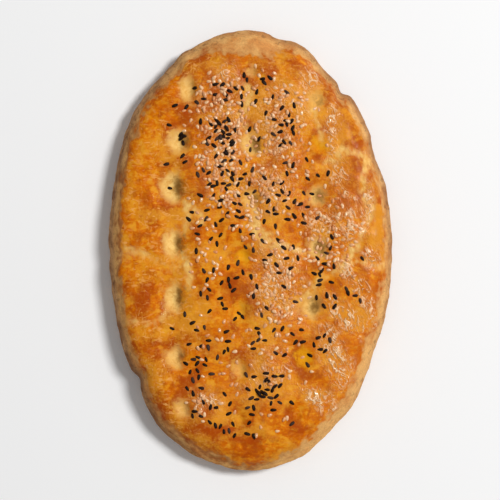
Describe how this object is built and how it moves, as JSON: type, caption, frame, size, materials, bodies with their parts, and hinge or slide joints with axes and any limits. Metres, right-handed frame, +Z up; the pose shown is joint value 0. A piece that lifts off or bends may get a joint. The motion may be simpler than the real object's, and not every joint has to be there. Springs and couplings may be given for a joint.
{
  "type": "barbari bread",
  "caption": "Oval, golden flatbread loaf with rows of finger dimples and a glazed crust scattered with dark and pale seeds, resting on its flat underside.",
  "frame": {"origin": "middle of the flat underside, on the surface that the loaf rests on", "axes": "+Y along the loaf's long axis, +X across it, +Z up through the dimpled top"},
  "size_m": [0.161, 0.25, 0.0279],
  "materials": {
    "crust": "egg-glazed, golden brown baked crust, paler and matt on the side wall and underside",
    "nigella": "dull black seed with a slight sheen",
    "sesame": "cream to toasted seed with a soft gloss"
  },
  "bodies": {
    "root": {"bread": "crust"}
  },
  "joints": []
}
